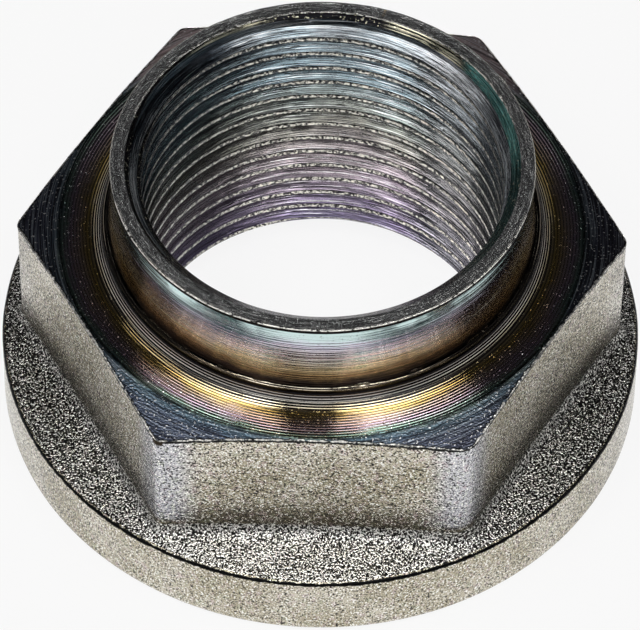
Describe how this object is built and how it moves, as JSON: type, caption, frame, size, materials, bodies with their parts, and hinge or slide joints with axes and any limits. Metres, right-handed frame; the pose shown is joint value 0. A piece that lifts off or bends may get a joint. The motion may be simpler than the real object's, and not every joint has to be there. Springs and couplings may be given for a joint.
{
  "type": "spindle nut",
  "caption": "Flanged hexagon nut with a thin locking collar above the hexagon and a fine-threaded bore, in zinc-plated steel.",
  "frame": {"origin": "centre of the bearing face, on the thread's axis", "axes": "+Z along the thread's axis, from the bearing face towards the locking collar; one flat of the hexagon faces -Y"},
  "size_m": [0.044, 0.044, 0.023],
  "materials": {
    "zinc_steel": "zinc plate with a faint iridescent chromate film: blasted grain on the forged flange and hexagon, fine turned rings on the top face and collar"
  },
  "bodies": {
    "root": {"spindle_nut": "zinc_steel"}
  },
  "joints": []
}
